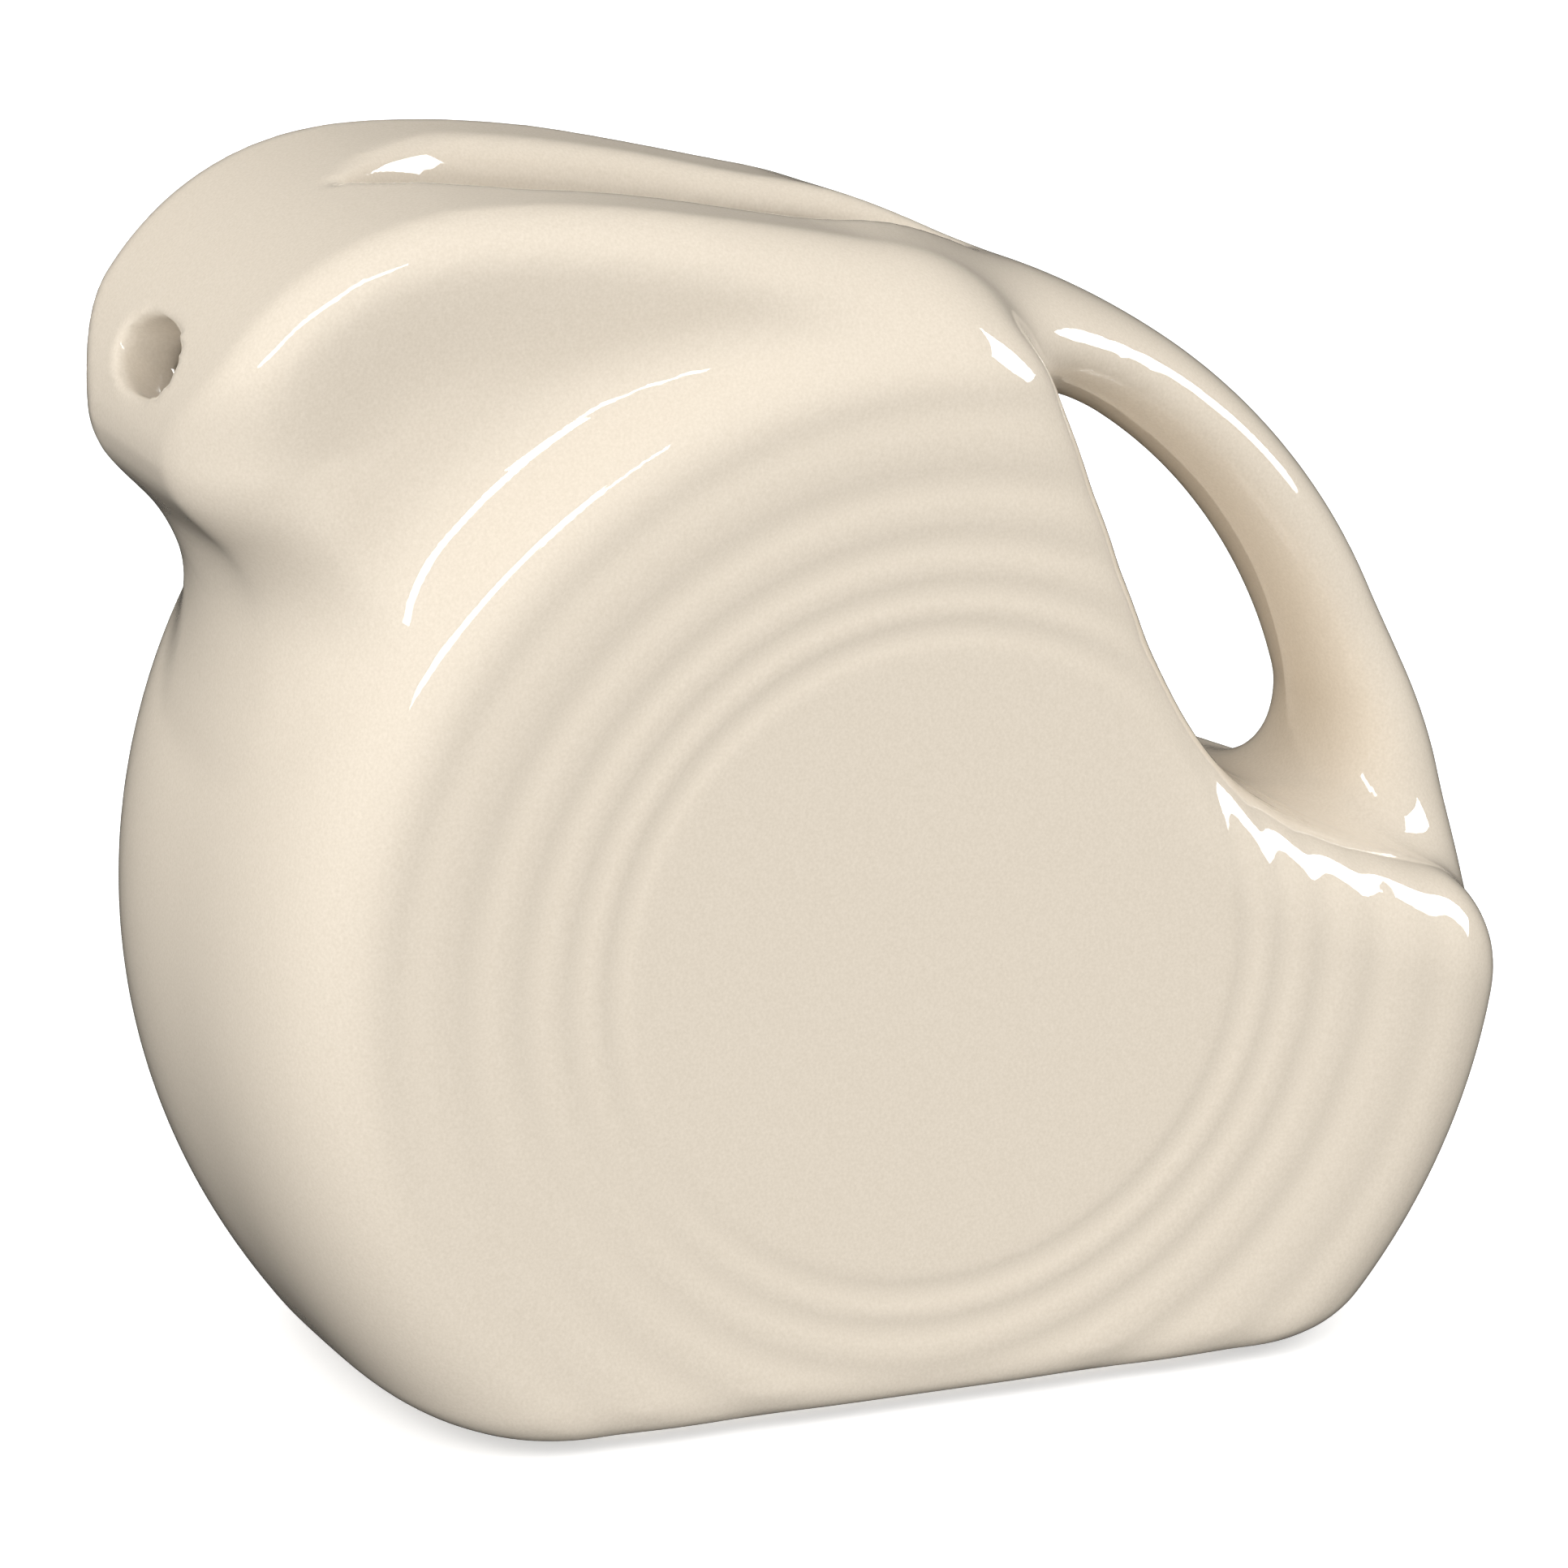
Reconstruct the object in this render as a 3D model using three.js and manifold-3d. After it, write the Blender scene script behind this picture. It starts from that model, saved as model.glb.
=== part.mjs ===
// Small disk pitcher in glazed ceramic: a hollow ringed disk on a low foot, a hood with a beak and
// a long mouth luted over its rim, and a loop handle behind it. Millimetres, +Z up, beak towards -X.
// The origin is at the middle of the bottom of the bounding box.
import * as THREE from "three";
import { mergeVertices } from "three/addons/utils/BufferGeometryUtils.js";
import Module from "manifold-3d";

// Disk: a revolved form around the Y axis, cut flat underneath
const DISK_RADIUS = 45.3;
const DISK_THICKNESS = 42.6;
const DISK_AXIS_RISE = 31.1;
const EDGE_DEPTH = 7.7; // how far the rounded edge reaches in from the rim
const CROWN_WIDTH = 17; // width of the cylindrical crown between the two rounded edges
const WALL = 3.3;

// Rings pressed into both faces: convex ridges whose widths grow outwards
const RING_START = 22.7;
const RING_WIDTH = 2.55;
const RING_GROWTH = 1.24;
const RING_COUNT = 4;
const RING_DEPTH = 0.4;
const RIDGE_SHARES = [0.25, 0.5, 0.75]; // points across a ridge, from groove to groove

// Foot ring under the flat base
const FOOT_HEIGHT = 0.7;
const FOOT_MARGIN = 3.5;
const FOOT_WIDTH = 4;
const FOOT_CORNER = 11;

// Hood outline in the middle plane, measured from the disk's axis: reaches forward, rises up
const BEAK_REACH = 49.2;
const BEAK_RISE = 36.2;
const CHIN_SETBACK = 4.9; // behind the beak
const CHIN_RISE = 29.8;
const THROAT_SETBACK = 7.8;
const THROAT_RISE = 14;
const CREST_REACH = 30;
const CREST_RISE = 52;
const NAPE_REACH = 0.8;
const NAPE_RISE = 46.9;
const TAIL_REACH = -17; // behind the axis
const TAIL_RISE = 40.7;

// How far the outline's curves follow their directions at those points
const THROAT_PULL = 9;
const THROAT_LEAN = 1.2; // forward, on the way up
const CHIN_BACK_PULL = 4.7;
const CHIN_FRONT_PULL = 1.7;
const CHIN_SLOPE = 40;
const TIP_PULL = 4.1;
const BROW_PULL = 6.8;
const CREST_FRONT_PULL = 10.5;
const CREST_BACK_PULL = 13.4;
const NAPE_FRONT_PULL = 5.7;
const NAPE_BACK_PULL = 11.2;
const NAPE_SLOPE = 12.5;
const TAIL_PULL = 8.5;
const TAIL_SLOPE = 28;

// Hood across the thickness: it widens from the beak to the scoop and has rounded shoulders
const BEAK_WIDTH = 24.2;
const TAIL_WIDTH = 41.4;
const SHOULDER_DEPTH = 4.2;
const SHOULDER_WIDTH = 5;

// Dished top between the two lips, the mouth slot along it and the pour hole in the beak
const DISH_LENGTH = 41;
const DISH_WIDTH = 20;
const DISH_DEPTH = 2.2;
const DISH_REACH = 15.5; // its middle
const DISH_RISE = 50.7;
const DISH_SLOPE = 10;
const MOUTH_FRONT = 33.5;
const MOUTH_BACK = 4.5;
const MOUTH_WIDTH = 12;
const MOUTH_TIP_PULL = 3;
const MOUTH_SIDE_PULL = 8;
const POUR_RISE = 40.6;
const POUR_TILT = 25; // degrees that the hole's axis points above level
const POUR_WIDTH = 10.6;
const POUR_HEIGHT = 5.6;

// Scoop that clears the fingers behind the disk, from the tail down to the rim
const SCOOP_TOP_REACH = 5.4;
const SCOOP_TOP_RISE = 50.7;
const SCOOP_BEND_REACH = 15.6;
const SCOOP_BEND_RISE = 23;
const SCOOP_BEND_PULL = 20;
const SCOOP_FLOOR_RISE = -2.6; // where the scoop's floor runs out over the rim
const SCOOP_FLOOR_PULL = 20.2;
const SCOOP_FLOOR_SLOPE = 24;
const SCOOP_OVERRUN = 1.5;
const SCOOP_EDGE_DEPTH = 2.4; // rounding where the scoop and the base meet the disk's faces
const SCOOP_EDGE_WIDTH = 3;

// Handle: an oval strap on an arc around the disk's axis, thicker at both roots
const HANDLE_RADIUS = 40.2;
const HANDLE_DEPTH = 6.8;
const HANDLE_WIDTH = 14.4;
const HANDLE_START_ANGLE = 92;
const HANDLE_END_ANGLE = -18;
const UPPER_ROOT_DEPTH = 9;
const UPPER_ROOT_SHARE = 0.45; // part of the arc over which the upper root slims down
const LOWER_ROOT_DEPTH = 12.6;
const LOWER_ROOT_START = 0.55;
const LOWER_ROOT_FULL = 0.95;
const ROOT_WIDTH = 19;

// Luted joints
const SEAT_RADIUS = 38.6; // the hood sits on the disk's walls along this arc
const SEAT_FRONT_ANGLE = 151; // degrees from +X, where the hood ends at the throat
const SEAT_BACK_ANGLE = 20;
const JOINT_GAP = 0.3;

// Fineness of the curved faces
const TURN_STEPS = 60;
const SEAT_STEPS = 28;
const CURVE_STEPS = 7;
const EDGE_STEPS = 5;
const BEVEL_STEPS = 3;
const DISH_SIDES = 44;
const DISH_BANDS = 40;
const STRAP_SIDES = 18;
const STRAP_STEPS = 18;
const POUR_SIDES = 28;

const halfThickness = DISK_THICKNESS / 2;
const baseLevel = FOOT_HEIGHT - DISK_AXIS_RISE;
const farAway = 2 * (BEAK_REACH + DISK_RADIUS);
const radians = THREE.MathUtils.degToRad;
const pointAt = (x, z) => new THREE.Vector2(x, z);

const wasm = await Module();
wasm.setup();

// Closed geometry to a solid that can be joined and cut
function solidOf(geometry) {
  const bare = geometry.clone();
  bare.deleteAttribute("normal");
  bare.deleteAttribute("uv");
  const merged = mergeVertices(bare, 1e-4);
  const corners = [];
  const index = merged.index.array;
  for (let i = 0; i < index.length; i += 3) {
    const [a, b, c] = [index[i], index[i + 1], index[i + 2]];
    if (a !== b && b !== c && c !== a) corners.push(a, b, c);
  }
  const vertProperties = new Float32Array(merged.attributes.position.array);
  const triVerts = new Uint32Array(corners);
  return new wasm.Manifold(new wasm.Mesh({ numProp: 3, vertProperties, triVerts }));
}

function meshOf(name, solid, material) {
  const { vertProperties, triVerts } = solid.getMesh();
  const geometry = new THREE.BufferGeometry();
  geometry.setAttribute("position", new THREE.BufferAttribute(vertProperties, 3));
  geometry.setIndex(new THREE.BufferAttribute(triVerts, 1));
  geometry.computeVertexNormals();
  const mesh = new THREE.Mesh(geometry, material);
  mesh.name = name;
  return mesh;
}

// A side outline (x, z) carried across the thickness, centred on the middle plane
function acrossThickness(points, width, bevel = null) {
  const options = { depth: width, bevelEnabled: false };
  if (bevel) {
    options.depth = width - 2 * bevel.width;
    options.bevelEnabled = true;
    options.bevelThickness = bevel.width;
    options.bevelSize = bevel.depth;
    options.bevelOffset = -bevel.depth;
    options.bevelSegments = BEVEL_STEPS;
  }
  const geometry = new THREE.ExtrudeGeometry(new THREE.Shape(points), options);
  geometry.rotateX(Math.PI / 2);
  geometry.translate(0, options.depth / 2, 0);
  return geometry;
}

// Points of an open curve moved sideways: a positive distance moves to the left of travel
function moveSideways(points, distance) {
  return points.map((point, i) => {
    const before = points[Math.max(i - 1, 0)];
    const after = points[Math.min(i + 1, points.length - 1)];
    const along = after.clone().sub(before).normalize();
    return pointAt(point.x - along.y * distance, point.y + along.x * distance);
  });
}

// A curve that leaves one point and arrives at the next, each end following its own pull
function bend(from, leaving, arriving, to) {
  return new THREE.CubicBezierCurve(from, from.clone().add(leaving), to.clone().sub(arriving), to);
}

// Half section of the disk from its back face to its front face; the inside has no rings
function diskProfile(inset, ringed) {
  const face = halfThickness - inset;
  const edgeStart = DISK_RADIUS - EDGE_DEPTH;
  const edgeDepth = EDGE_DEPTH - inset;
  const edgeWidth = face - CROWN_WIDTH / 2;
  const half = [pointAt(0, face)];
  if (ringed) half.push(...ringPoints(face));
  const firstStep = ringed ? 1 : 0;
  for (let step = firstStep; step <= EDGE_STEPS; step += 1) {
    const angle = (step / EDGE_STEPS) * (Math.PI / 2);
    const radius = edgeStart + edgeDepth * Math.sin(angle);
    half.push(pointAt(radius, CROWN_WIDTH / 2 + edgeWidth * Math.cos(angle)));
  }
  const mirrored = half.map((point) => pointAt(point.x, -point.y));
  return [...mirrored, ...half.reverse()];
}

// Grooves between parabolic ridges, from the flat middle outwards
function ringPoints(face) {
  const points = [pointAt(RING_START - RING_WIDTH / 3, face)];
  let radius = RING_START;
  let width = RING_WIDTH;
  for (let ring = 0; ring < RING_COUNT; ring += 1) {
    points.push(pointAt(radius, face - RING_DEPTH));
    for (const share of RIDGE_SHARES) {
      const fall = (2 * share - 1) ** 2 * RING_DEPTH;
      points.push(pointAt(radius + share * width, face - fall));
    }
    radius += width;
    width *= RING_GROWTH;
  }
  points.push(pointAt(radius, face - RING_DEPTH));
  return points;
}

function disk(inset, ringed) {
  return solidOf(new THREE.LatheGeometry(diskProfile(inset, ringed), TURN_STEPS));
}

// A length along a direction given in degrees above +X
function pull(degrees, length) {
  const angle = radians(degrees);
  return pointAt(Math.cos(angle), Math.sin(angle)).multiplyScalar(length);
}

// Throat, beak, crest, nape and tail as one run of curves, closed inside the disk
function hoodOutline(inset) {
  const throat = pointAt(THROAT_SETBACK - BEAK_REACH, THROAT_RISE);
  const chin = pointAt(CHIN_SETBACK - BEAK_REACH, CHIN_RISE);
  const tip = pointAt(-BEAK_REACH, BEAK_RISE);
  const crest = pointAt(-CREST_REACH, CREST_RISE);
  const nape = pointAt(-NAPE_REACH, NAPE_RISE);
  const tail = pointAt(-TAIL_REACH, TAIL_RISE);
  const run = new THREE.CurvePath();
  run.add(bend(throat, pointAt(-THROAT_LEAN, THROAT_PULL), pull(180 - CHIN_SLOPE, CHIN_BACK_PULL), chin));
  run.add(bend(chin, pull(180 - CHIN_SLOPE, CHIN_FRONT_PULL), pull(90, TIP_PULL), tip));
  run.add(bend(tip, pull(90, BROW_PULL), pull(0, CREST_FRONT_PULL), crest));
  run.add(bend(crest, pull(0, CREST_BACK_PULL), pull(-NAPE_SLOPE, NAPE_FRONT_PULL), nape));
  run.add(bend(nape, pull(-NAPE_SLOPE, NAPE_BACK_PULL), pull(-TAIL_SLOPE, TAIL_PULL), tail));
  const moved = moveSideways(run.getPoints(CURVE_STEPS), -inset);
  const inside = SEAT_RADIUS / 2;
  return [...moved, pointAt(inside, inside), pointAt(-1.5 * inside, inside / 2)];
}

// The hood's outline with rounded shoulders, both sides spread apart towards the tail
function hood(inset) {
  const bevel = { width: SHOULDER_WIDTH - inset, depth: SHOULDER_DEPTH - inset };
  const geometry = acrossThickness(hoodOutline(inset), BEAK_WIDTH - 2 * inset, bevel);
  const position = geometry.attributes.position;
  const spread = (TAIL_WIDTH - BEAK_WIDTH) / 2;
  for (let i = 0; i < position.count; i += 1) {
    const along = THREE.MathUtils.inverseLerp(-BEAK_REACH, -TAIL_REACH, position.getX(i));
    const y = position.getY(i);
    position.setY(i, y + Math.sign(y) * spread * THREE.MathUtils.clamp(along, 0, 1));
  }
  return solidOf(geometry);
}

// Dish between the lips: part of a long ball whose lowest line lies one depth under the crest
function dish(grown) {
  const radius = (DISH_WIDTH ** 2 / 4 + DISH_DEPTH ** 2) / (2 * DISH_DEPTH);
  const geometry = new THREE.SphereGeometry(radius + grown, DISH_SIDES, DISH_BANDS);
  geometry.rotateX(Math.PI / 2);
  geometry.scale(DISH_LENGTH / DISH_WIDTH, 1, 1);
  geometry.rotateY(radians(DISH_SLOPE));
  return solidOf(geometry.translate(-DISH_REACH, 0, DISH_RISE + radius - DISH_DEPTH));
}

// The scoop's wall from its top down to the rim, moved into the disk by a positive distance
function scoopWall(grown) {
  const top = pointAt(SCOOP_TOP_REACH, SCOOP_TOP_RISE);
  const turn = pointAt(SCOOP_BEND_REACH, SCOOP_BEND_RISE);
  const end = pointAt(DISK_RADIUS + SCOOP_OVERRUN, SCOOP_FLOOR_RISE);
  const floorSlope = radians(SCOOP_FLOOR_SLOPE);
  const leaving = turn.clone().sub(top).setLength(SCOOP_BEND_PULL);
  const arriving = pointAt(Math.cos(floorSlope), -Math.sin(floorSlope));
  const run = new THREE.CurvePath();
  run.add(new THREE.LineCurve(top, turn));
  run.add(bend(turn, leaving, arriving.multiplyScalar(SCOOP_FLOOR_PULL), end));
  return moveSideways(run.getPoints(2 * CURVE_STEPS), -grown);
}

// Everything behind the scoop's wall
function scoop(grown) {
  const wall = scoopWall(grown);
  const last = wall[wall.length - 1];
  const around = [pointAt(farAway, last.y), pointAt(farAway, farAway), pointAt(wall[0].x, farAway)];
  return solidOf(acrossThickness([...wall, ...around], 2 * DISK_THICKNESS));
}

// Everything above the base in front of the scoop's wall and under its floor, rounded towards both faces
function frontOfScoop() {
  const wall = scoopWall(0);
  const last = wall[wall.length - 1];
  const around = [
    pointAt(wall[0].x, farAway),
    pointAt(-farAway, farAway),
    pointAt(-farAway, baseLevel),
    pointAt(farAway, baseLevel),
    pointAt(farAway, last.y),
  ];
  const bevel = { width: SCOOP_EDGE_WIDTH, depth: SCOOP_EDGE_DEPTH };
  const points = [...around, ...wall.reverse()];
  return solidOf(acrossThickness(points, DISK_THICKNESS + 2 * JOINT_GAP, bevel));
}

// What lies under the joint between the disk and the hood, grown by a distance
function seat(grown) {
  const front = radians(SEAT_FRONT_ANGLE);
  const back = radians(SEAT_BACK_ANGLE);
  const lift = pointAt(Math.sin(front), -Math.cos(front)).multiplyScalar(grown);
  const shape = new THREE.Shape();
  shape.moveTo(-farAway, -farAway);
  shape.lineTo(farAway, -farAway);
  shape.lineTo(farAway * Math.cos(back), farAway * Math.sin(back));
  shape.absarc(0, 0, SEAT_RADIUS + grown, back, front, false);
  shape.lineTo(farAway * Math.cos(front) + lift.x, farAway * Math.sin(front) + lift.y);
  const points = shape.extractPoints(SEAT_STEPS).shape;
  return solidOf(acrossThickness(points, 2 * DISK_THICKNESS));
}

// Block that reaches up to a level from far below
function blockBelow(level) {
  const box = new THREE.BoxGeometry(farAway, farAway, farAway);
  return solidOf(box.translate(0, 0, level - farAway / 2));
}

// Mouth: a pointed lens along the dish, cut straight down
function mouthSlot() {
  const half = MOUTH_WIDTH / 2;
  const middle = (MOUTH_BACK - MOUTH_FRONT) / 2;
  const front = MOUTH_TIP_PULL - MOUTH_FRONT;
  const back = MOUTH_BACK - MOUTH_TIP_PULL;
  const shape = new THREE.Shape();
  shape.moveTo(-MOUTH_FRONT, 0);
  shape.bezierCurveTo(front, -half, middle - MOUTH_SIDE_PULL, -half, middle, -half);
  shape.bezierCurveTo(middle + MOUTH_SIDE_PULL, -half, back, -half, MOUTH_BACK, 0);
  shape.bezierCurveTo(back, half, middle + MOUTH_SIDE_PULL, half, middle, half);
  shape.bezierCurveTo(middle - MOUTH_SIDE_PULL, half, front, half, -MOUTH_FRONT, 0);
  const options = { depth: CREST_RISE, bevelEnabled: false, curveSegments: CURVE_STEPS };
  const geometry = new THREE.ExtrudeGeometry(shape, options);
  return solidOf(geometry.translate(0, 0, SEAT_RADIUS));
}

// Pour hole: an oval bore square to the beak's front
function pourHole() {
  const geometry = new THREE.CylinderGeometry(0.5, 0.5, 3 * WALL, POUR_SIDES);
  geometry.scale(POUR_HEIGHT, 1, POUR_WIDTH);
  geometry.rotateZ(Math.PI / 2 - radians(POUR_TILT));
  return solidOf(geometry.translate(WALL / 2 - BEAK_REACH, 0, POUR_RISE));
}

// Inside of the vessel, one wall in from every face
function cavity() {
  const inside = disk(WALL, false).add(hood(WALL));
  const open = inside.subtract(scoop(WALL)).subtract(dish(WALL));
  return open.subtract(blockBelow(baseLevel + WALL));
}

// Handle strap: ovals along the arc, still to be cut against the scoop's wall
function handleStrap() {
  const { lerp, smoothstep } = THREE.MathUtils;
  const positions = [];
  const index = [];
  for (let step = 0; step <= STRAP_STEPS; step += 1) {
    const share = step / STRAP_STEPS;
    const angle = radians(lerp(HANDLE_START_ANGLE, HANDLE_END_ANGLE, share));
    const upper = smoothstep(UPPER_ROOT_SHARE - share, 0, UPPER_ROOT_SHARE);
    const lower = smoothstep(share, LOWER_ROOT_START, LOWER_ROOT_FULL);
    const upperGain = (UPPER_ROOT_DEPTH - HANDLE_DEPTH) * upper;
    const lowerGain = (LOWER_ROOT_DEPTH - HANDLE_DEPTH) * lower;
    const halfDepth = (HANDLE_DEPTH + upperGain + lowerGain) / 2;
    const halfWidth = lerp(HANDLE_WIDTH, ROOT_WIDTH, Math.max(upper, lower)) / 2;
    for (let side = 0; side < STRAP_SIDES; side += 1) {
      const turn = (side / STRAP_SIDES) * 2 * Math.PI;
      const radius = HANDLE_RADIUS + halfDepth * Math.cos(turn);
      positions.push(radius * Math.cos(angle), halfWidth * Math.sin(turn), radius * Math.sin(angle));
    }
  }
  const ring = (step, side) => step * STRAP_SIDES + (side % STRAP_SIDES);
  for (let side = 0; side < STRAP_SIDES; side += 1) {
    for (let step = 0; step < STRAP_STEPS; step += 1) {
      const [a, b] = [ring(step, side), ring(step, side + 1)];
      const [c, d] = [ring(step + 1, side + 1), ring(step + 1, side)];
      index.push(a, c, b, a, d, c);
    }
  }
  for (let side = 1; side < STRAP_SIDES - 1; side += 1) {
    index.push(ring(0, 0), ring(0, side), ring(0, side + 1));
    index.push(ring(STRAP_STEPS, 0), ring(STRAP_STEPS, side + 1), ring(STRAP_STEPS, side));
  }
  const geometry = new THREE.BufferGeometry();
  geometry.setAttribute("position", new THREE.Float32BufferAttribute(positions, 3));
  geometry.setIndex(index);
  return solidOf(geometry);
}

// Rounded oblong one margin and an inset in from the edge of the flat base
function footOutline(inset) {
  const baseReach = Math.sqrt(DISK_RADIUS ** 2 - baseLevel ** 2);
  const halfLength = baseReach - FOOT_MARGIN - inset;
  const halfWidth = halfThickness - FOOT_MARGIN - inset;
  const corner = Math.min(FOOT_CORNER - inset, halfWidth);
  const [x, y] = [halfLength - corner, halfWidth - corner];
  const shape = new THREE.Shape();
  shape.absarc(x, y, corner, 0, Math.PI / 2, false);
  shape.absarc(-x, y, corner, Math.PI / 2, Math.PI, false);
  shape.absarc(-x, -y, corner, Math.PI, 1.5 * Math.PI, false);
  shape.absarc(x, -y, corner, 1.5 * Math.PI, 2 * Math.PI, false);
  return shape;
}

// Foot ring: a low band that the whole pitcher stands on
function footRing() {
  const shape = footOutline(0);
  shape.holes.push(footOutline(FOOT_WIDTH));
  const options = { depth: FOOT_HEIGHT, bevelEnabled: false, curveSegments: CURVE_STEPS };
  return solidOf(new THREE.ExtrudeGeometry(shape, options).translate(0, 0, -DISK_AXIS_RISE));
}

const glaze = new THREE.MeshStandardMaterial({ color: 0xe7decd, roughness: 0.18, metalness: 0 });
const bisque = new THREE.MeshStandardMaterial({ color: 0xe9e3d8, roughness: 0.85, metalness: 0 });

const shell = disk(0, true).add(hood(0)).intersect(frontOfScoop());
const walls = shell.subtract(cavity());
const bodySolid = walls.intersect(seat(-JOINT_GAP / 2));
const upperWalls = walls.subtract(seat(JOINT_GAP / 2)).subtract(dish(0));
const hoodSolid = upperWalls.subtract(mouthSlot()).subtract(pourHole());
const handleSolid = handleStrap().intersect(scoop(-JOINT_GAP));

// Built around the disk's axis, then placed with the middle of its underside at the origin
const vessel = new THREE.Group();
vessel.add(meshOf("disk_body", bodySolid, glaze.clone()));
vessel.add(meshOf("spout_hood", hoodSolid, glaze.clone()));
vessel.add(meshOf("handle", handleSolid, glaze.clone()));
vessel.add(meshOf("foot_ring", footRing(), bisque));
const extent = new THREE.Box3().setFromObject(vessel);
vessel.position.set(-(extent.min.x + extent.max.x) / 2, 0, DISK_AXIS_RISE);

const pitcher = new THREE.Group();
pitcher.add(vessel);

export default pitcher;
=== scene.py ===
# Looks of a small disk pitcher in glossy ivory glaze, standing on a pale studio floor.
# The surface is one smooth field, so the disk, hood and handle run into each other as fired clay does.
# Shape values are millimetres around the disk's axis; the scene itself is in metres in the part's frame.
import math

import bpy
import numpy as np
from mathutils import Matrix, Vector


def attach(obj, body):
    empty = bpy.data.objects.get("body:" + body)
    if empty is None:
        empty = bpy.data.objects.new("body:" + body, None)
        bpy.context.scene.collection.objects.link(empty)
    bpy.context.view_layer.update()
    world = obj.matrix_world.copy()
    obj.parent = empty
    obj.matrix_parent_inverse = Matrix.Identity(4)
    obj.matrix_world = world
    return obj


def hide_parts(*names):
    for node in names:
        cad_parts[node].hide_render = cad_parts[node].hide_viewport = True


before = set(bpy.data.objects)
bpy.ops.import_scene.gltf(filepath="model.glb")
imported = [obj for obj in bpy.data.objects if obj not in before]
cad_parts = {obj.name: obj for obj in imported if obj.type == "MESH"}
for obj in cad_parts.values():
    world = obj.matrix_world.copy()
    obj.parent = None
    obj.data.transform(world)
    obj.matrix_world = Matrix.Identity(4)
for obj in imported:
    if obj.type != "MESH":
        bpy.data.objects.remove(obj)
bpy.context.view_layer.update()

MM = 0.001
DISK_CENTRE = (1.609, 0.0, 31.1)

# Grid that the surface is taken from, and its smoothing
VOXEL = 0.5
GRID_X = (-51.0, 50.0)
GRID_Y = (-24.75, 24.76)
GRID_Z = (-31.0, 54.5)
SMOOTH_PASSES = 8
SMOOTH_WEIGHTS = (0.5, -0.52)

# Disk, rings and base
DISK_RADIUS = 45.3
HALF_THICKNESS = 21.3
EDGE_DEPTH = 9.0
EDGE_POWER = 3.0
RING_EDGES = (22.7, 25.25, 28.41, 32.33, 37.19)
RING_DEPTH = 0.22
RING_BOWL = 0.6
RING_CREST = 0.2
RING_RUN_IN = 1.4
RING_RUN_OUT = 2.2
BASE_DROP = 30.4
BASE_ROUNDING = 2.6
WALL = 3.3
CAVITY_ROUNDING = 2.0
INNER_EDGE_ROUNDING = 0.6
BEAK_WALL = 1.6
BEAK_WALL_ENDS = (36.0, 44.0)

# Foot ring
FOOT_HEIGHT = 0.7
FOOT_MARGIN = 3.5
FOOT_WIDTH = 4.0
FOOT_CORNER = 11.0
FOOT_EDGE = 0.35
FOOT_SEAT = 0.3
FOOT_SHOULDER = 0.1
FOOT_STEPS = 16

# Hood outline in the middle plane: (x, z), then the pulls of its curves
THROAT = (-41.3, 14.0)
CHIN = (-46.0, 30.9)
TIP = (-48.1, 35.2)
CREST = (-28.0, 51.6)
NAPE = (3.0, 45.9)
TAIL = (17.1, 40.8)
THROAT_PULL = (-1.2, 9.0)
CHIN_SLOPE = 36.0
CHIN_PULLS = (5.0, 0.5)
TIP_PULLS = (2.1, 5.6)
CREST_PULLS = (13.7, 11.0)
NAPE_SLOPE = 12.5
NAPE_PULLS = (9.0, 4.5)
TAIL_SLOPE = 31.0
TAIL_PULL = 4.5
HOOD_INNER_CORNERS = ((18.0, 26.0), (-10.0, 12.0))

# Hood across the thickness
WIDTH_STATIONS = (-48.0, -45.0, -40.0, -34.0, -24.0, 10.0)
HOOD_HALF_WIDTHS = (14.3, 15.0, 15.6, 16.2, 17.2, 20.9)
CHEEK_HOLLOW = 1.4
CHEEK_DEPTHS = (2.0, 12.0)
RIDGE_STATIONS = (-36.0, -14.0, 5.0)
RIDGE_ROUNDINGS = (3.4, 4.2, 9.0)
CHIN_ROUNDING = 8.0
CHIN_LEVELS = (35.0, 43.0)
CHIN_ENDS = (32.0, 42.0)
BLEND_STATIONS = (-45.0, -40.0, -36.0, 5.0)
BLEND_REACHES = (3.4, 5.0, 4.8, 1.4)
THROAT_FALL = 1.2
THROAT_HALF_WIDTH = 8.0
THROAT_FALL_LEVELS = (22.0, 33.0)
THROAT_SOFTNESS = 2.0
SOFT_ENDS = (32.0, 38.0)
SOFT_LEVELS = (31.0, 37.0)
SOFT_STEP = 45

# Mouth with rolled lips, and the pour hole
MOUTH_FRONT = -33.0
MOUTH_BACK = 9.0
MOUTH_HALF_WIDTH = 6.1
MOUTH_FRONT_LENGTH = 12.0
MOUTH_TAPER_START = -11.0
MOUTH_TAPER_POWER = 1.6
MOUTH_FLOOR = 37.0
CAVITY_TOP = 43.5
LIP_STATIONS = (-33.0, -24.0)
LIP_ROUNDINGS = (1.4, 3.4)
POUR_CENTRE = (-46.4, 40.6)
POUR_TILT = 25.0
POUR_HALF_WIDTH = 5.0
POUR_HALF_HEIGHT = 2.6
POUR_REACH = 6.0
POUR_ROUNDING = 0.5

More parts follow.
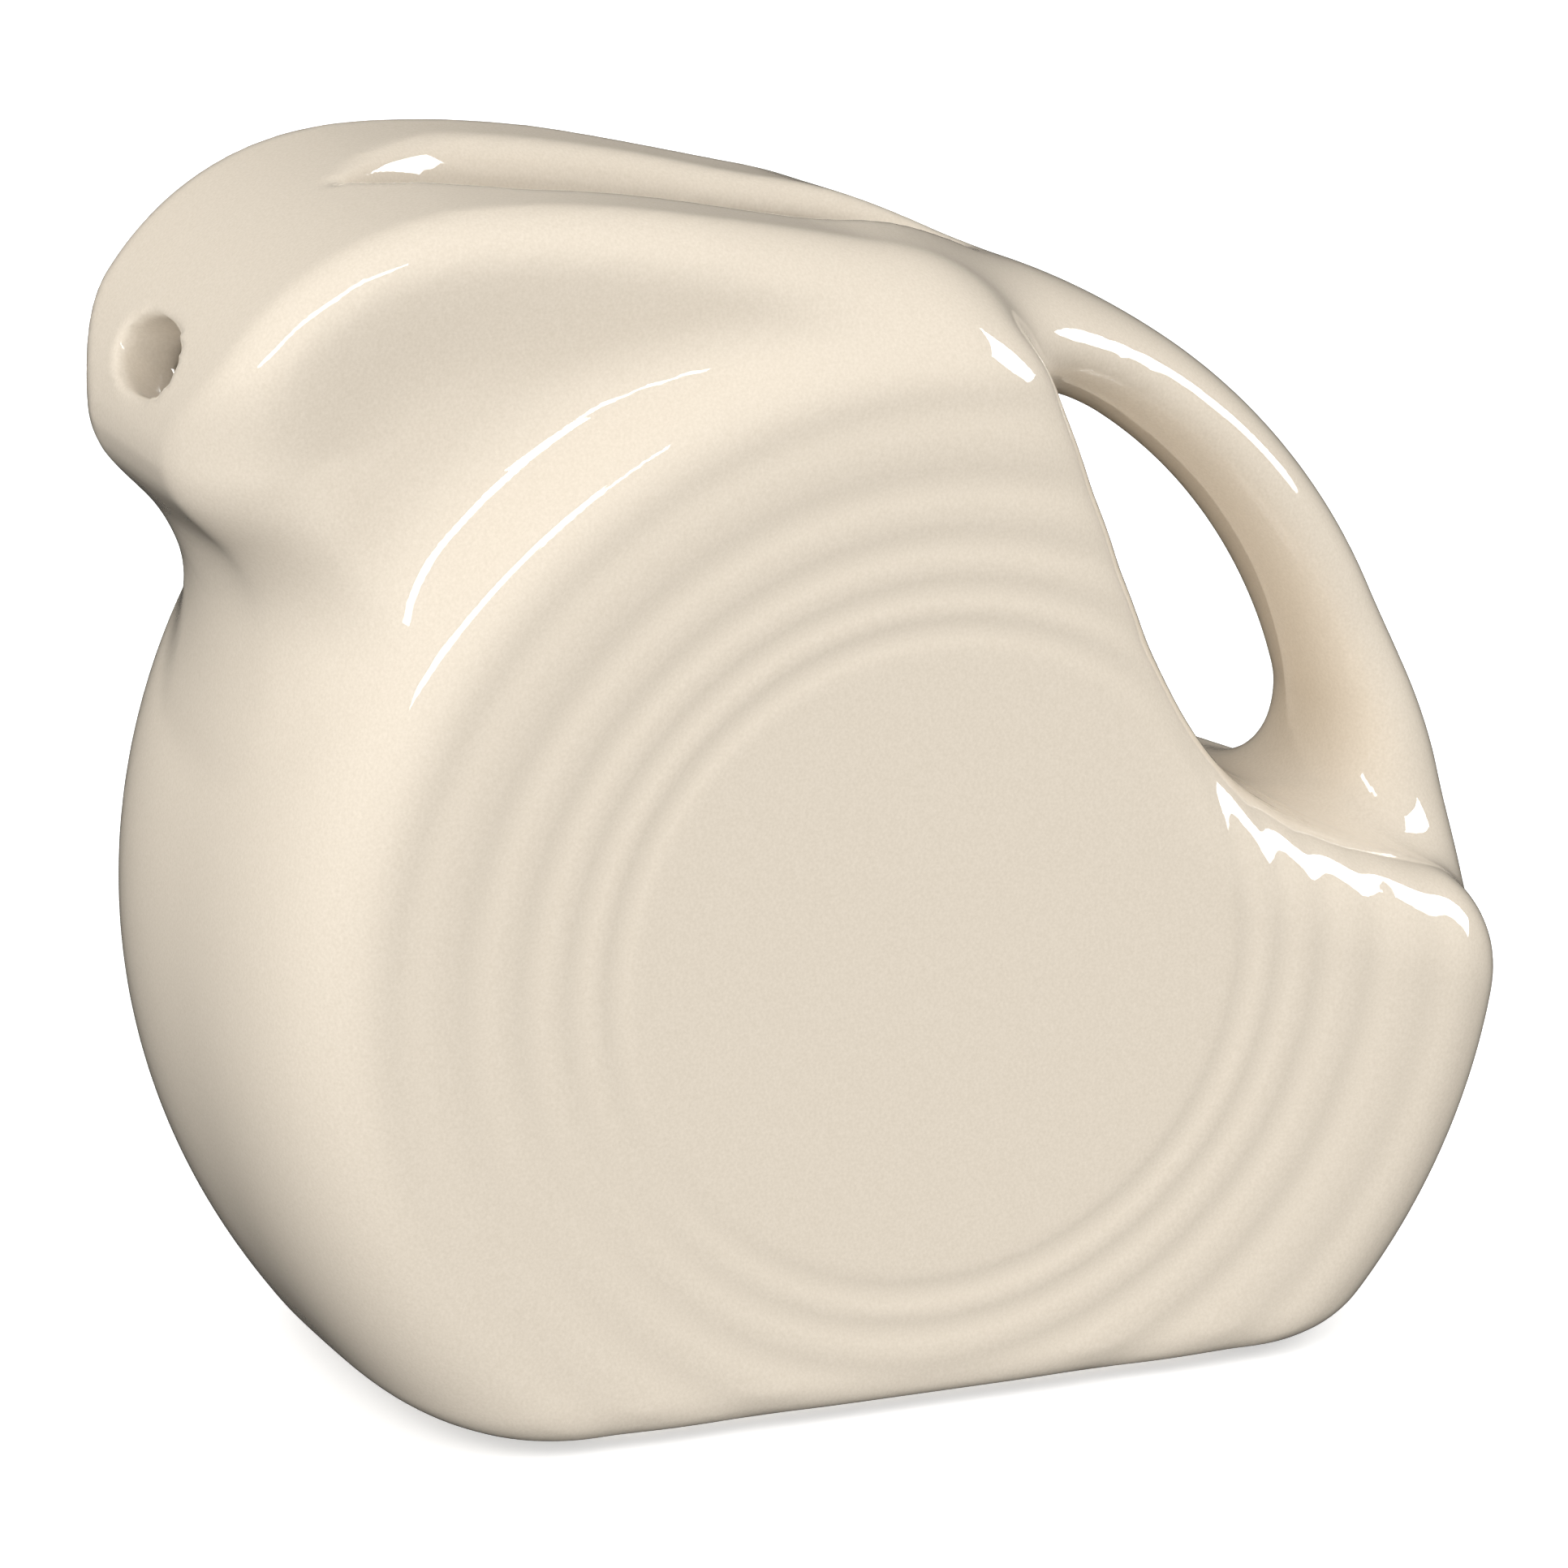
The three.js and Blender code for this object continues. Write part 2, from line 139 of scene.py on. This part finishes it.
# Scoop and handle
SCOOP_TOP = (5.4, 50.7)
SCOOP_BEND = (15.6, 23.0)
SCOOP_END = (46.1, -2.4)
SCOOP_PULLS = (20.0, 19.7)
SCOOP_FLOOR_SLOPE = 24.0
SCOOP_ROUNDING = 6.6
SCOOP_RISE = 20.0
SCOOP_RUN = 40.0
SCOOP_BEYOND = 100.0
HANDLE_OUTER = 43.5
HANDLE_INNER = 36.8
HANDLE_HALF_WIDTH = 7.2
UPPER_ROOT_HALF_WIDTH = 12.0
LOWER_ROOT_HALF_WIDTH = 9.3
HANDLE_ANGLES = (-17.0, 94.0)
UPPER_ROOT_ANGLES = (55.0, 86.0)
LOWER_ROOT_ANGLES = (-24.0, 4.0)
LOWER_INNER_ANGLES = (-15.0, 1.0)
OUTER_SWELLS = (0.7, 2.6)
INNER_SWELLS = (2.0, 3.6)
HANDLE_BLEND = 5.0

# Joints of the part, where the pieces are parted
SEAT_RADIUS = 38.6
SEAT_ANGLES = (20.0, 151.0)
JOINT_GAP = 0.3

# Camera, measured from the disk's axis
CAMERA_AZIMUTH = -22.5
CAMERA_RISE = 16.24
CAMERA_DISTANCE = 680.4
CAMERA_SHIFT = (1.87, -6.31)
LENS = 231.9
SENSOR = 36.0
CLIP = (0.05, 20.0)
FLOOR_REACH = 6.0

# Even studio light: where it is strongest, and its level from behind (0) to there (1)
FRONT_AZIMUTH = -15.0
FRONT_RISE = 35.0
WORLD_STOPS = ((0.0, 0.03), (0.35, 0.12), (0.6, 0.55), (1.0, 1.0))
WORLD_STRENGTH = 0.39

# Softboxes that only show as mirror images: name, azimuth, rise, size and turn of each
SOFTBOX_GLOW = 15.0
SOFTBOX_DISTANCE = 0.9
SOFTBOX_AIM = (0.0, 0.0, 0.035)
SOFTBOXES = (
    ("left_softbox", -46, 36, (0.6, 0.09), 34),
    ("ridge_softbox", -22, 42, (0.28, 0.06), 26),
    ("right_softbox", 79, 26, (0.45, 0.48), 12),
)

# Soft fills without a mirror image: azimuth, rise and strength of each
FILL_SPREAD = 60.0
FILLS = ((-150, 20, 0.8), (-110, 5, 0.7), (-75, 0, 0.55), (-40, 0, 1.0), (-5, 0, 0.95), (-5, 40, 0.4),
         (60, 40, 0.75), (105, 5, 1.9), (165, 15, 1.5), (-60, 60, 0.95))

# Colours between which the grain of the glaze and of the bare clay varies, and the floor
GLAZE_TINTS = ((0.69, 0.61, 0.50, 1), (0.76, 0.68, 0.57, 1))
GLAZE_TINT_ENDS = (0.25, 0.75)
GLAZE_GRAIN = 5200
BISQUE_TINTS = ((0.62, 0.55, 0.45, 1), (0.74, 0.67, 0.57, 1))
BISQUE_TINT_ENDS = (0.0, 1.0)
BISQUE_GRAIN = 2500
GRAIN_DETAIL = 2
FLOOR_WHITE = (0.93, 0.93, 0.93, 1)
FLOOR_GLOW = 0.45


def smooth_min(a, b, reach):
    overlap = np.clip(reach - np.abs(a - b), 0, None)
    return np.minimum(a, b) - overlap * overlap / (4 * reach)


def smooth_max(a, b, reach):
    return -smooth_min(-a, -b, reach)


def ease(value, start, end):
    share = np.clip((value - start) / (end - start), 0, 1)
    return share * share * (3 - 2 * share)


def heading(degrees):
    angle = math.radians(degrees)
    return np.array((math.cos(angle), math.sin(angle)))


# Cubic curve between two points with its own pull at each end
def curve(start, leaving, arriving, end, steps=48):
    share = np.linspace(0, 1, steps, endpoint=False)[:, None]
    rest = 1 - share
    first, last = np.asarray(start, float), np.asarray(end, float)
    a, b = first + leaving, last - arriving
    return rest**3 * first + 3 * share * rest**2 * a + 3 * share**2 * rest * b + share**3 * last


# Signed distance to a closed outline, negative inside
def outline_distance(x, z, outline):
    best = np.full(x.shape, 1e9)
    inside = np.zeros(x.shape, bool)
    ends = np.roll(outline, -1, axis=0)
    for (ax, az), (bx, bz) in zip(outline, ends):
        ex, ez = bx - ax, bz - az
        share = np.clip(((x - ax) * ex + (z - az) * ez) / (ex * ex + ez * ez + 1e-12), 0, 1)
        best = np.minimum(best, (x - ax - share * ex) ** 2 + (z - az - share * ez) ** 2)
        if az != bz:
            spans = (az > z) != (bz > z)
            inside ^= spans & (x < ax + ex * (z - az) / ez)
    distance = np.sqrt(best)
    return np.where(inside, -distance, distance)


def hood_outline():
    chin, nape, tail = heading(180 - CHIN_SLOPE), heading(-NAPE_SLOPE), heading(-TAIL_SLOPE)
    up, back = heading(90), heading(0)
    parts = [
        curve(THROAT, THROAT_PULL, chin * CHIN_PULLS[0], CHIN),
        curve(CHIN, chin * CHIN_PULLS[1], up * TIP_PULLS[0], TIP),
        curve(TIP, up * TIP_PULLS[1], back * CREST_PULLS[0], CREST),
        curve(CREST, back * CREST_PULLS[1], nape * NAPE_PULLS[0], NAPE),
        curve(NAPE, nape * NAPE_PULLS[1], tail * TAIL_PULL, TAIL),
        np.array([TAIL, *HOOD_INNER_CORNERS]),
    ]
    return np.concatenate(parts)


def scoop_outline():
    drop, run = SCOOP_TOP[1] - SCOOP_BEND[1], SCOOP_BEND[0] - SCOOP_TOP[0]
    wall = heading(-math.degrees(math.atan2(drop, run)))
    floor = heading(-SCOOP_FLOOR_SLOPE)
    bend = curve(SCOOP_BEND, wall * SCOOP_PULLS[0], floor * SCOOP_PULLS[1], SCOOP_END)
    top = np.array([SCOOP_TOP]) - SCOOP_RISE * wall
    end = np.array(SCOOP_END)
    corners = ((SCOOP_BEYOND, 0), (SCOOP_BEYOND, SCOOP_BEYOND), (0, SCOOP_BEYOND))
    far = np.array([end, end + SCOOP_RUN * floor, *corners])
    return np.concatenate([top, bend, far])


# Depth of the rings at a radius: one in a groove, nothing on a ridge
def ring_fall(radius):
    fall = np.zeros(radius.shape)
    for inner, outer in zip(RING_EDGES[:-1], RING_EDGES[1:]):
        share = (radius - inner) / (outer - inner)
        here = (share >= 0) & (share < 1)
        groove = RING_BOWL * (2 * share - 1) ** 2 + RING_CREST * (1 + np.cos(2 * np.pi * share))
        fall = np.where(here, groove, fall)
    before, after = RING_EDGES[0] - radius, radius - RING_EDGES[-1]
    fall = np.where(before > 0, 1 - ease(before, 0, RING_RUN_IN), fall)
    return np.where(after >= 0, 1 - ease(after, 0, RING_RUN_OUT), fall)


def disk_field(x, y, z, ringed):
    radius = np.hypot(x, z)
    across = np.abs(y)
    if ringed:
        across = across + RING_DEPTH * ring_fall(radius)
    edge_r = np.maximum(radius - (DISK_RADIUS - EDGE_DEPTH), 0) / EDGE_DEPTH
    edge_y = across / HALF_THICKNESS
    scale = (edge_r**EDGE_POWER + edge_y**EDGE_POWER) ** (1 / EDGE_POWER) + 1e-9
    slope_r = (edge_r / scale) ** (EDGE_POWER - 1) / EDGE_DEPTH
    slope_y = (edge_y / scale) ** (EDGE_POWER - 1) / HALF_THICKNESS
    return (scale - 1) / (np.hypot(slope_r, slope_y) + 1e-6)


# Share of the way from the first station to the last
def between(value, ends):
    return np.clip((value - ends[0]) / (ends[1] - ends[0]), 0, 1)


def hood_field(x, y, z, outline):
    half = np.interp(x, WIDTH_STATIONS, HOOD_HALF_WIDTHS)
    low = (1 - ease(z, *CHIN_LEVELS)) * ease(-x, *CHIN_ENDS)
    rounding = np.interp(x, RIDGE_STATIONS, RIDGE_ROUNDINGS)
    rounding = rounding + (CHIN_ROUNDING - RIDGE_ROUNDINGS[0]) * low
    fall = THROAT_FALL * (y / THROAT_HALF_WIDTH) ** 2 * (1 - ease(z, *THROAT_FALL_LEVELS))
    out_side = outline + rounding + fall
    out_y = np.abs(y) - half + CHEEK_HOLLOW * ease(-outline, *CHEEK_DEPTHS) + rounding
    beyond = np.hypot(np.maximum(out_side, 0), np.maximum(out_y, 0))
    return np.minimum(np.maximum(out_side, out_y), 0) + beyond - rounding


def handle_field(x, y, z):
    radius = np.hypot(x, z)
    angle = np.degrees(np.arctan2(z, x))
    upper, lower = ease(angle, *UPPER_ROOT_ANGLES), ease(-angle, *LOWER_ROOT_ANGLES)
    outer = HANDLE_OUTER + OUTER_SWELLS[0] * upper + OUTER_SWELLS[1] * lower
    inner = HANDLE_INNER - INNER_SWELLS[0] * upper - INNER_SWELLS[1] * ease(-angle, *LOWER_INNER_ANGLES)
    half_depth = (outer - inner) / 2
    half_width = HANDLE_HALF_WIDTH + (UPPER_ROOT_HALF_WIDTH - HANDLE_HALF_WIDTH) * upper
    half_width = half_width + (LOWER_ROOT_HALF_WIDTH - HANDLE_HALF_WIDTH) * lower
    off = radius - (outer + inner) / 2
    over = np.maximum(angle - HANDLE_ANGLES[1], HANDLE_ANGLES[0] - angle)
    past = np.radians(np.maximum(over, 0)) * radius
    off = np.hypot(off, past)
    scale = np.hypot(off / half_depth, y / half_width)
    slope = np.hypot(off / half_depth**2, y / half_width**2) + 1e-9
    return scale * (scale - 1) / slope


def mouth_field(x, y, z):
    front = between(x, (MOUTH_FRONT, MOUTH_FRONT + MOUTH_FRONT_LENGTH))
    taper = between(x, (MOUTH_BACK, MOUTH_TAPER_START))
    half = MOUTH_HALF_WIDTH * (1 - (1 - front) ** 2) * (1 - (1 - taper) ** MOUTH_TAPER_POWER)
    beyond = np.maximum(np.maximum(MOUTH_FRONT - x, x - MOUTH_BACK), 0)
    return np.maximum(np.hypot(np.abs(y), beyond) - half, MOUTH_FLOOR - z)


def pour_field(x, y, z):
    out = heading(180 - POUR_TILT)
    dx, dz = x - POUR_CENTRE[0], z - POUR_CENTRE[1]
    along = dx * out[0] + dz * out[1]
    up = dx * out[1] - dz * out[0]
    scale = np.hypot(y / POUR_HALF_WIDTH, up / POUR_HALF_HEIGHT)
    slope = np.hypot(y / POUR_HALF_WIDTH**2, up / POUR_HALF_HEIGHT**2) + 1e-9
    return np.maximum(scale * (scale - 1) / slope, np.abs(along) - POUR_REACH)


# Distance to the hood's outline, softened around the throat so that no fold shows under the chin
def hood_distance(x, z):
    points = hood_outline()
    outline = outline_distance(x, z, points)
    around = [heading(angle) * THROAT_SOFTNESS for angle in range(0, 360, SOFT_STEP)]
    soft = sum(outline_distance(x + dx, z + dz, points) for dx, dz in around) / len(around)
    return outline + (soft - outline) * ease(-x, *SOFT_ENDS) * (1 - ease(z, *SOFT_LEVELS))


# The whole fired piece without its foot, as a field on a grid of points
def pitcher_field(xs, ys, zs):
    side_x, side_z = np.meshgrid(xs, zs, indexing="ij")
    outline = hood_distance(side_x, side_z)[:, None, :]
    scoop = outline_distance(side_x, side_z, scoop_outline())[:, None, :]
    x, y, z = xs[:, None, None], ys[None, :, None], zs[None, None, :]
    hood = hood_field(x, y, z, outline)
    reach = np.interp(x, BLEND_STATIONS, BLEND_REACHES)
    outside = smooth_min(disk_field(x, y, z, True), hood, reach)
    thickness = WALL + BEAK_WALL * ease(-x, *BEAK_WALL_ENDS)
    inside = smooth_min(disk_field(x, y, z, False), hood, reach) + thickness
    outside = smooth_max(outside, -scoop, SCOOP_ROUNDING)
    inside = smooth_max(inside, WALL - scoop, CAVITY_ROUNDING)
    outside = smooth_min(outside, handle_field(x, y, z), HANDLE_BLEND)
    outside = smooth_max(outside, -(z + BASE_DROP), BASE_ROUNDING)
    inside = smooth_max(inside, WALL - (z + BASE_DROP), CAVITY_ROUNDING)
    inside = smooth_max(inside, z - CAVITY_TOP, CAVITY_ROUNDING)
    wall = smooth_max(outside, -inside, INNER_EDGE_ROUNDING)
    wall = smooth_max(wall, -mouth_field(x, y, z), np.interp(x, LIP_STATIONS, LIP_ROUNDINGS))
    return smooth_max(wall, -pour_field(x, y, z), POUR_ROUNDING)


# Quads around every grid edge that crosses the surface, one vertex in each crossed cell
def surface_of(field, xs, ys, zs):
    solid = field < 0
    shape = tuple(n - 1 for n in field.shape)
    count = np.zeros(shape, np.int8)
    offsets = [(i, j, k) for i in (0, 1) for j in (0, 1) for k in (0, 1)]
    for i, j, k in offsets:
        count += solid[i:i + shape[0], j:j + shape[1], k:k + shape[2]]
    crossed = (count > 0) & (count < 8)
    cells = np.argwhere(crossed)
    index = np.full(shape, -1, np.int64)
    index[crossed] = np.arange(len(cells))
    total = np.zeros((len(cells), 3))
    hits = np.zeros(len(cells))
    for a in offsets:
        for axis in range(3):
            if a[axis]:
                continue
            b = tuple(v + (n == axis) for n, v in enumerate(a))
            va = field[tuple((cells + a).T)]
            vb = field[tuple((cells + b).T)]
            cut = (va < 0) != (vb < 0)
            share = np.where(cut, va / np.where(cut, va - vb, 1), 0)
            place = np.array(a) + share[:, None] * (np.array(b) - np.array(a))
            total[cut] += place[cut]
            hits += cut
    grid = cells + total / hits[:, None]
    step = np.array((xs[1] - xs[0], ys[1] - ys[0], zs[1] - zs[0]))
    points = grid * step + np.array((xs[0], ys[0], zs[0]))
    quads = []
    for axis in range(3):
        one, two = [n for n in range(3) if n != axis]
        low = [slice(1, -1)] * 3
        low[axis] = slice(0, -1)
        high = list(low)
        high[axis] = slice(1, None)
        change = solid[tuple(low)] != solid[tuple(high)]
        spots = np.argwhere(change)
        spots[:, one] += 1
        spots[:, two] += 1
        ring = []
        for d1, d2 in ((0, 0), (-1, 0), (-1, -1), (0, -1)):
            cell = spots.copy()
            cell[:, one] += d1
            cell[:, two] += d2
            ring.append(index[tuple(cell.T)])
        quad = np.stack(ring, 1)
        leaving = solid[tuple(spots.T)]
        if axis == 1:
            leaving = ~leaving
        quad[~leaving] = quad[~leaving][:, ::-1]
        quads.append(quad)
    return points, np.concatenate(quads)


# Even out the grid's steps without shrinking the form
def smoothed(points, quads, passes):
    pairs = np.concatenate([quads[:, [n, (n + 1) % 4]] for n in range(4)])
    pairs = np.concatenate([pairs, pairs[:, ::-1]])
    degree = np.bincount(pairs[:, 0], minlength=len(points))
    for number in range(2 * passes):
        weight = SMOOTH_WEIGHTS[number % 2]
        mean = np.stack([
            np.bincount(pairs[:, 0], points[pairs[:, 1], axis], len(points)) for axis in range(3)
        ], 1) / degree[:, None]
        points = points + weight * (mean - points)
    return points


def vertex_normals(points, quads):
    a, b, c, d = (points[quads[:, n]] for n in range(4))
    face = np.cross(c - a, d - b)
    normals = np.zeros_like(points)
    for n in range(4):
        for axis in range(3):
            normals[:, axis] += np.bincount(quads[:, n], face[:, axis], len(points))
    return normals / (np.linalg.norm(normals, axis=1)[:, None] + 1e-12)


def add_mesh(name, points, faces, material, normals=None):
    mesh = bpy.data.meshes.new(name)
    mesh.from_pydata(points.tolist(), [], faces.tolist())
    mesh.materials.append(material)
    mesh.polygons.foreach_set("use_smooth", np.ones(len(mesh.polygons), bool))
    mesh.update()
    if normals is not None:
        mesh.normals_split_custom_set_from_vertices(normals.tolist())
    piece = bpy.data.objects.new(name, mesh)
    bpy.context.scene.collection.objects.link(piece)
    return piece


def in_frame(points):
    return (points + np.array(DISK_CENTRE)) * MM


# Which piece of the part each face belongs to, by the joints of the part
def piece_of(centres):
    x, z = centres[:, 0], centres[:, 2]
    angle = np.degrees(np.arctan2(z, x))
    scoop = outline_distance(x, z, scoop_outline())
    over_seat = (np.hypot(x, z) > SEAT_RADIUS) & (angle > SEAT_ANGLES[0]) & (angle < SEAT_ANGLES[1])
    return np.where(scoop < -JOINT_GAP, "handle", np.where(over_seat, "spout_hood", "disk_body"))


# Material whose colour varies with a fine grain
def grained_material(name, grain_scale, tints, tint_ends):
    material = bpy.data.materials.new(name)
    material.use_nodes = True
    tree = material.node_tree
    shader = tree.nodes["Principled BSDF"]
    place = tree.nodes.new("ShaderNodeTexCoord")
    grain = tree.nodes.new("ShaderNodeTexNoise")
    grain.inputs["Scale"].default_value = grain_scale
    grain.inputs["Detail"].default_value = GRAIN_DETAIL
    tree.links.new(place.outputs["Object"], grain.inputs["Vector"])
    tint = tree.nodes.new("ShaderNodeValToRGB")
    for stop, position, colour in zip(tint.color_ramp.elements, tint_ends, tints):
        stop.position = position
        stop.color = colour
    tree.links.new(grain.outputs["Fac"], tint.inputs["Fac"])
    tree.links.new(tint.outputs["Color"], shader.inputs["Base Color"])
    return material, shader


def glaze_material():
    material, shader = grained_material("ivory_glaze", GLAZE_GRAIN, GLAZE_TINTS, GLAZE_TINT_ENDS)
    shader.inputs["Roughness"].default_value = 0.45
    shader.inputs["Specular IOR Level"].default_value = 0.0
    shader.inputs["Coat Weight"].default_value = 1.0
    shader.inputs["Coat Roughness"].default_value = 0.03
    shader.inputs["Coat IOR"].default_value = 1.5
    return material


def bisque_material():
    material, shader = grained_material("bare_foot", BISQUE_GRAIN, BISQUE_TINTS, BISQUE_TINT_ENDS)
    shader.inputs["Roughness"].default_value = 0.85
    return material


def floor_material():
    material = bpy.data.materials.new("pale_floor")
    material.use_nodes = True
    shader = material.node_tree.nodes["Principled BSDF"]
    shader.inputs["Base Color"].default_value = FLOOR_WHITE
    shader.inputs["Roughness"].default_value = 0.9
    shader.inputs["Specular IOR Level"].default_value = 0.0
    shader.inputs["Emission Color"].default_value = (1, 1, 1, 1)
    shader.inputs["Emission Strength"].default_value = FLOOR_GLOW
    return material


# Rounded oblong band under the base
def foot_points():
    reach = math.sqrt(DISK_RADIUS**2 - BASE_DROP**2) - FOOT_MARGIN
    half_width = HALF_THICKNESS - FOOT_MARGIN
    rows = []
    outer_side = [(0, FOOT_SEAT), (0, -FOOT_SHOULDER)]
    outer_side += [(0, -FOOT_HEIGHT + FOOT_EDGE), (FOOT_EDGE, -FOOT_HEIGHT)]
    section = outer_side + [(FOOT_WIDTH - inset, level) for inset, level in reversed(outer_side)]
    for inset, level in section:
        corner = FOOT_CORNER - inset
        for quarter in range(4):
            sx, sy = (1, 1, -1, -1)[quarter], (1, -1, -1, 1)[quarter]
            cx, cy = sx * (reach - FOOT_CORNER), sy * (half_width - FOOT_CORNER)
            start = (90, 0, -90, -180)[quarter]
            for step in range(FOOT_STEPS + 1):
                across, along = heading(start - 90 * step / FOOT_STEPS) * corner
                rows.append((cx + across, cy + along, level - BASE_DROP))
    around = 4 * (FOOT_STEPS + 1)
    faces = []
    for row in range(len(section)):
        here, following = row * around, (row + 1) % len(section) * around
        for n in range(around):
            m = (n + 1) % around
            faces.append((here + n, following + n, following + m, here + m))
    return np.array(rows), np.array(faces)[:, ::-1]


# Unit vector from the pitcher towards an azimuth and a rise
def towards(azimuth, rise):
    az, el = math.radians(azimuth), math.radians(rise)
    return Vector((math.sin(az) * math.cos(el), -math.cos(az) * math.cos(el), math.sin(el)))


# Light object that shines back along a direction
def add_lamp(light, out):
    lamp = bpy.data.objects.new(light.name, light)
    lamp.rotation_euler = out.to_track_quat("Z", "Y").to_euler()
    bpy.context.scene.collection.objects.link(lamp)
    return lamp


def add_softbox(name, azimuth, rise, size, turn):
    light = bpy.data.lights.new(name, "AREA")
    light.shape = "RECTANGLE"
    light.size, light.size_y = size
    light.energy = SOFTBOX_GLOW * math.pi * size[0] * size[1]
    out = towards(azimuth, rise)
    lamp = add_lamp(light, out)
    lamp.location = Vector(SOFTBOX_AIM) + out * SOFTBOX_DISTANCE
    lamp.rotation_euler.rotate_axis("Z", math.radians(turn))
    lamp.visible_diffuse = False


# Broad soft light from one side that leaves no mirror image on the glaze
def add_fill(azimuth, rise, strength):
    light = bpy.data.lights.new("fill", "SUN")
    light.energy = strength
    light.angle = math.radians(FILL_SPREAD)
    lamp = add_lamp(light, towards(azimuth, rise))
    lamp.visible_glossy = False


# Even light that is strongest from the front and fades towards the back
def add_world():
    world = bpy.data.worlds.new("studio")
    bpy.context.scene.world = world
    world.use_nodes = True
    tree = world.node_tree
    place = tree.nodes.new("ShaderNodeTexCoord")
    turn = tree.nodes.new("ShaderNodeMapping")
    az, el = math.radians(FRONT_AZIMUTH), math.radians(FRONT_RISE)
    spin = math.atan2(-math.cos(az), math.sin(az))
    aim = Matrix.Rotation(el, 3, "Y") @ Matrix.Rotation(-spin, 3, "Z")
    turn.inputs["Rotation"].default_value = aim.to_euler()
    turn.inputs["Scale"].default_value = (0.5, 0.5, 0.5)
    turn.inputs["Location"].default_value = (0.5, 0.5, 0.5)
    fade = tree.nodes.new("ShaderNodeTexGradient")
    ramp = tree.nodes.new("ShaderNodeValToRGB")
    ramp.color_ramp.interpolation = "B_SPLINE"
    stops = ramp.color_ramp.elements
    while len(stops) < len(WORLD_STOPS):
        stops.new(0.5)
    for stop, (position, level) in zip(stops, WORLD_STOPS):
        stop.position = position
        stop.color = (level, level, level, 1)
    tree.links.new(place.outputs["Generated"], turn.inputs["Vector"])
    tree.links.new(turn.outputs["Vector"], fade.inputs["Vector"])
    tree.links.new(fade.outputs["Fac"], ramp.inputs["Fac"])
    back = tree.nodes["Background"]
    tree.links.new(ramp.outputs["Color"], back.inputs["Color"])
    back.inputs["Strength"].default_value = WORLD_STRENGTH


def add_camera():
    across, along = heading(CAMERA_AZIMUTH)
    right = Vector((across, along, 0))
    back = towards(CAMERA_AZIMUTH, CAMERA_RISE)
    up = back.cross(right)
    shift = right * CAMERA_SHIFT[0] + up * CAMERA_SHIFT[1]
    place = back * CAMERA_DISTANCE - shift + Vector(DISK_CENTRE)
    data = bpy.data.cameras.new("camera")
    data.lens = LENS
    data.sensor_width = SENSOR
    data.clip_start, data.clip_end = CLIP
    camera = bpy.data.objects.new("camera", data)
    camera.matrix_world = Matrix((
        (right.x, up.x, back.x, place.x * MM),
        (right.y, up.y, back.y, place.y * MM),
        (right.z, up.z, back.z, place.z * MM),
        (0, 0, 0, 1),
    ))
    bpy.context.scene.collection.objects.link(camera)
    bpy.context.scene.camera = camera


# Glazed pieces, cut from the one surface
glaze = glaze_material()
xs, ys, zs = (np.arange(*ends, VOXEL) for ends in (GRID_X, GRID_Y, GRID_Z))
field = pitcher_field(xs, ys, zs)
points, quads = surface_of(field, xs, ys, zs)
points = smoothed(points, quads, SMOOTH_PASSES)
normals = vertex_normals(points, quads)
owner = piece_of(points[quads].mean(axis=1))
for name in ("disk_body", "spout_hood", "handle"):
    own = quads[owner == name]
    used, local = np.unique(own, return_inverse=True)
    piece = add_mesh(name + "_look", in_frame(points[used]), local.reshape(-1, 4), glaze, normals[used])
    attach(piece, "root")
    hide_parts(name)

# Bare foot
foot_verts, foot_faces = foot_points()
foot = add_mesh("foot_ring_look", in_frame(foot_verts), foot_faces, bisque_material())
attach(foot, "root")
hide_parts("foot_ring")

# Floor, lights and camera
corners = np.array([(-1, -1, 0), (1, -1, 0), (1, 1, 0), (-1, 1, 0)]) * FLOOR_REACH
floor = add_mesh("floor", corners, np.array([(0, 1, 2, 3)]), floor_material())
floor.visible_diffuse = False
floor.visible_glossy = False

add_world()
for softbox in SOFTBOXES:
    add_softbox(*softbox)
for fill in FILLS:
    add_fill(*fill)
add_camera()
bpy.context.scene.view_settings.view_transform = "Standard"
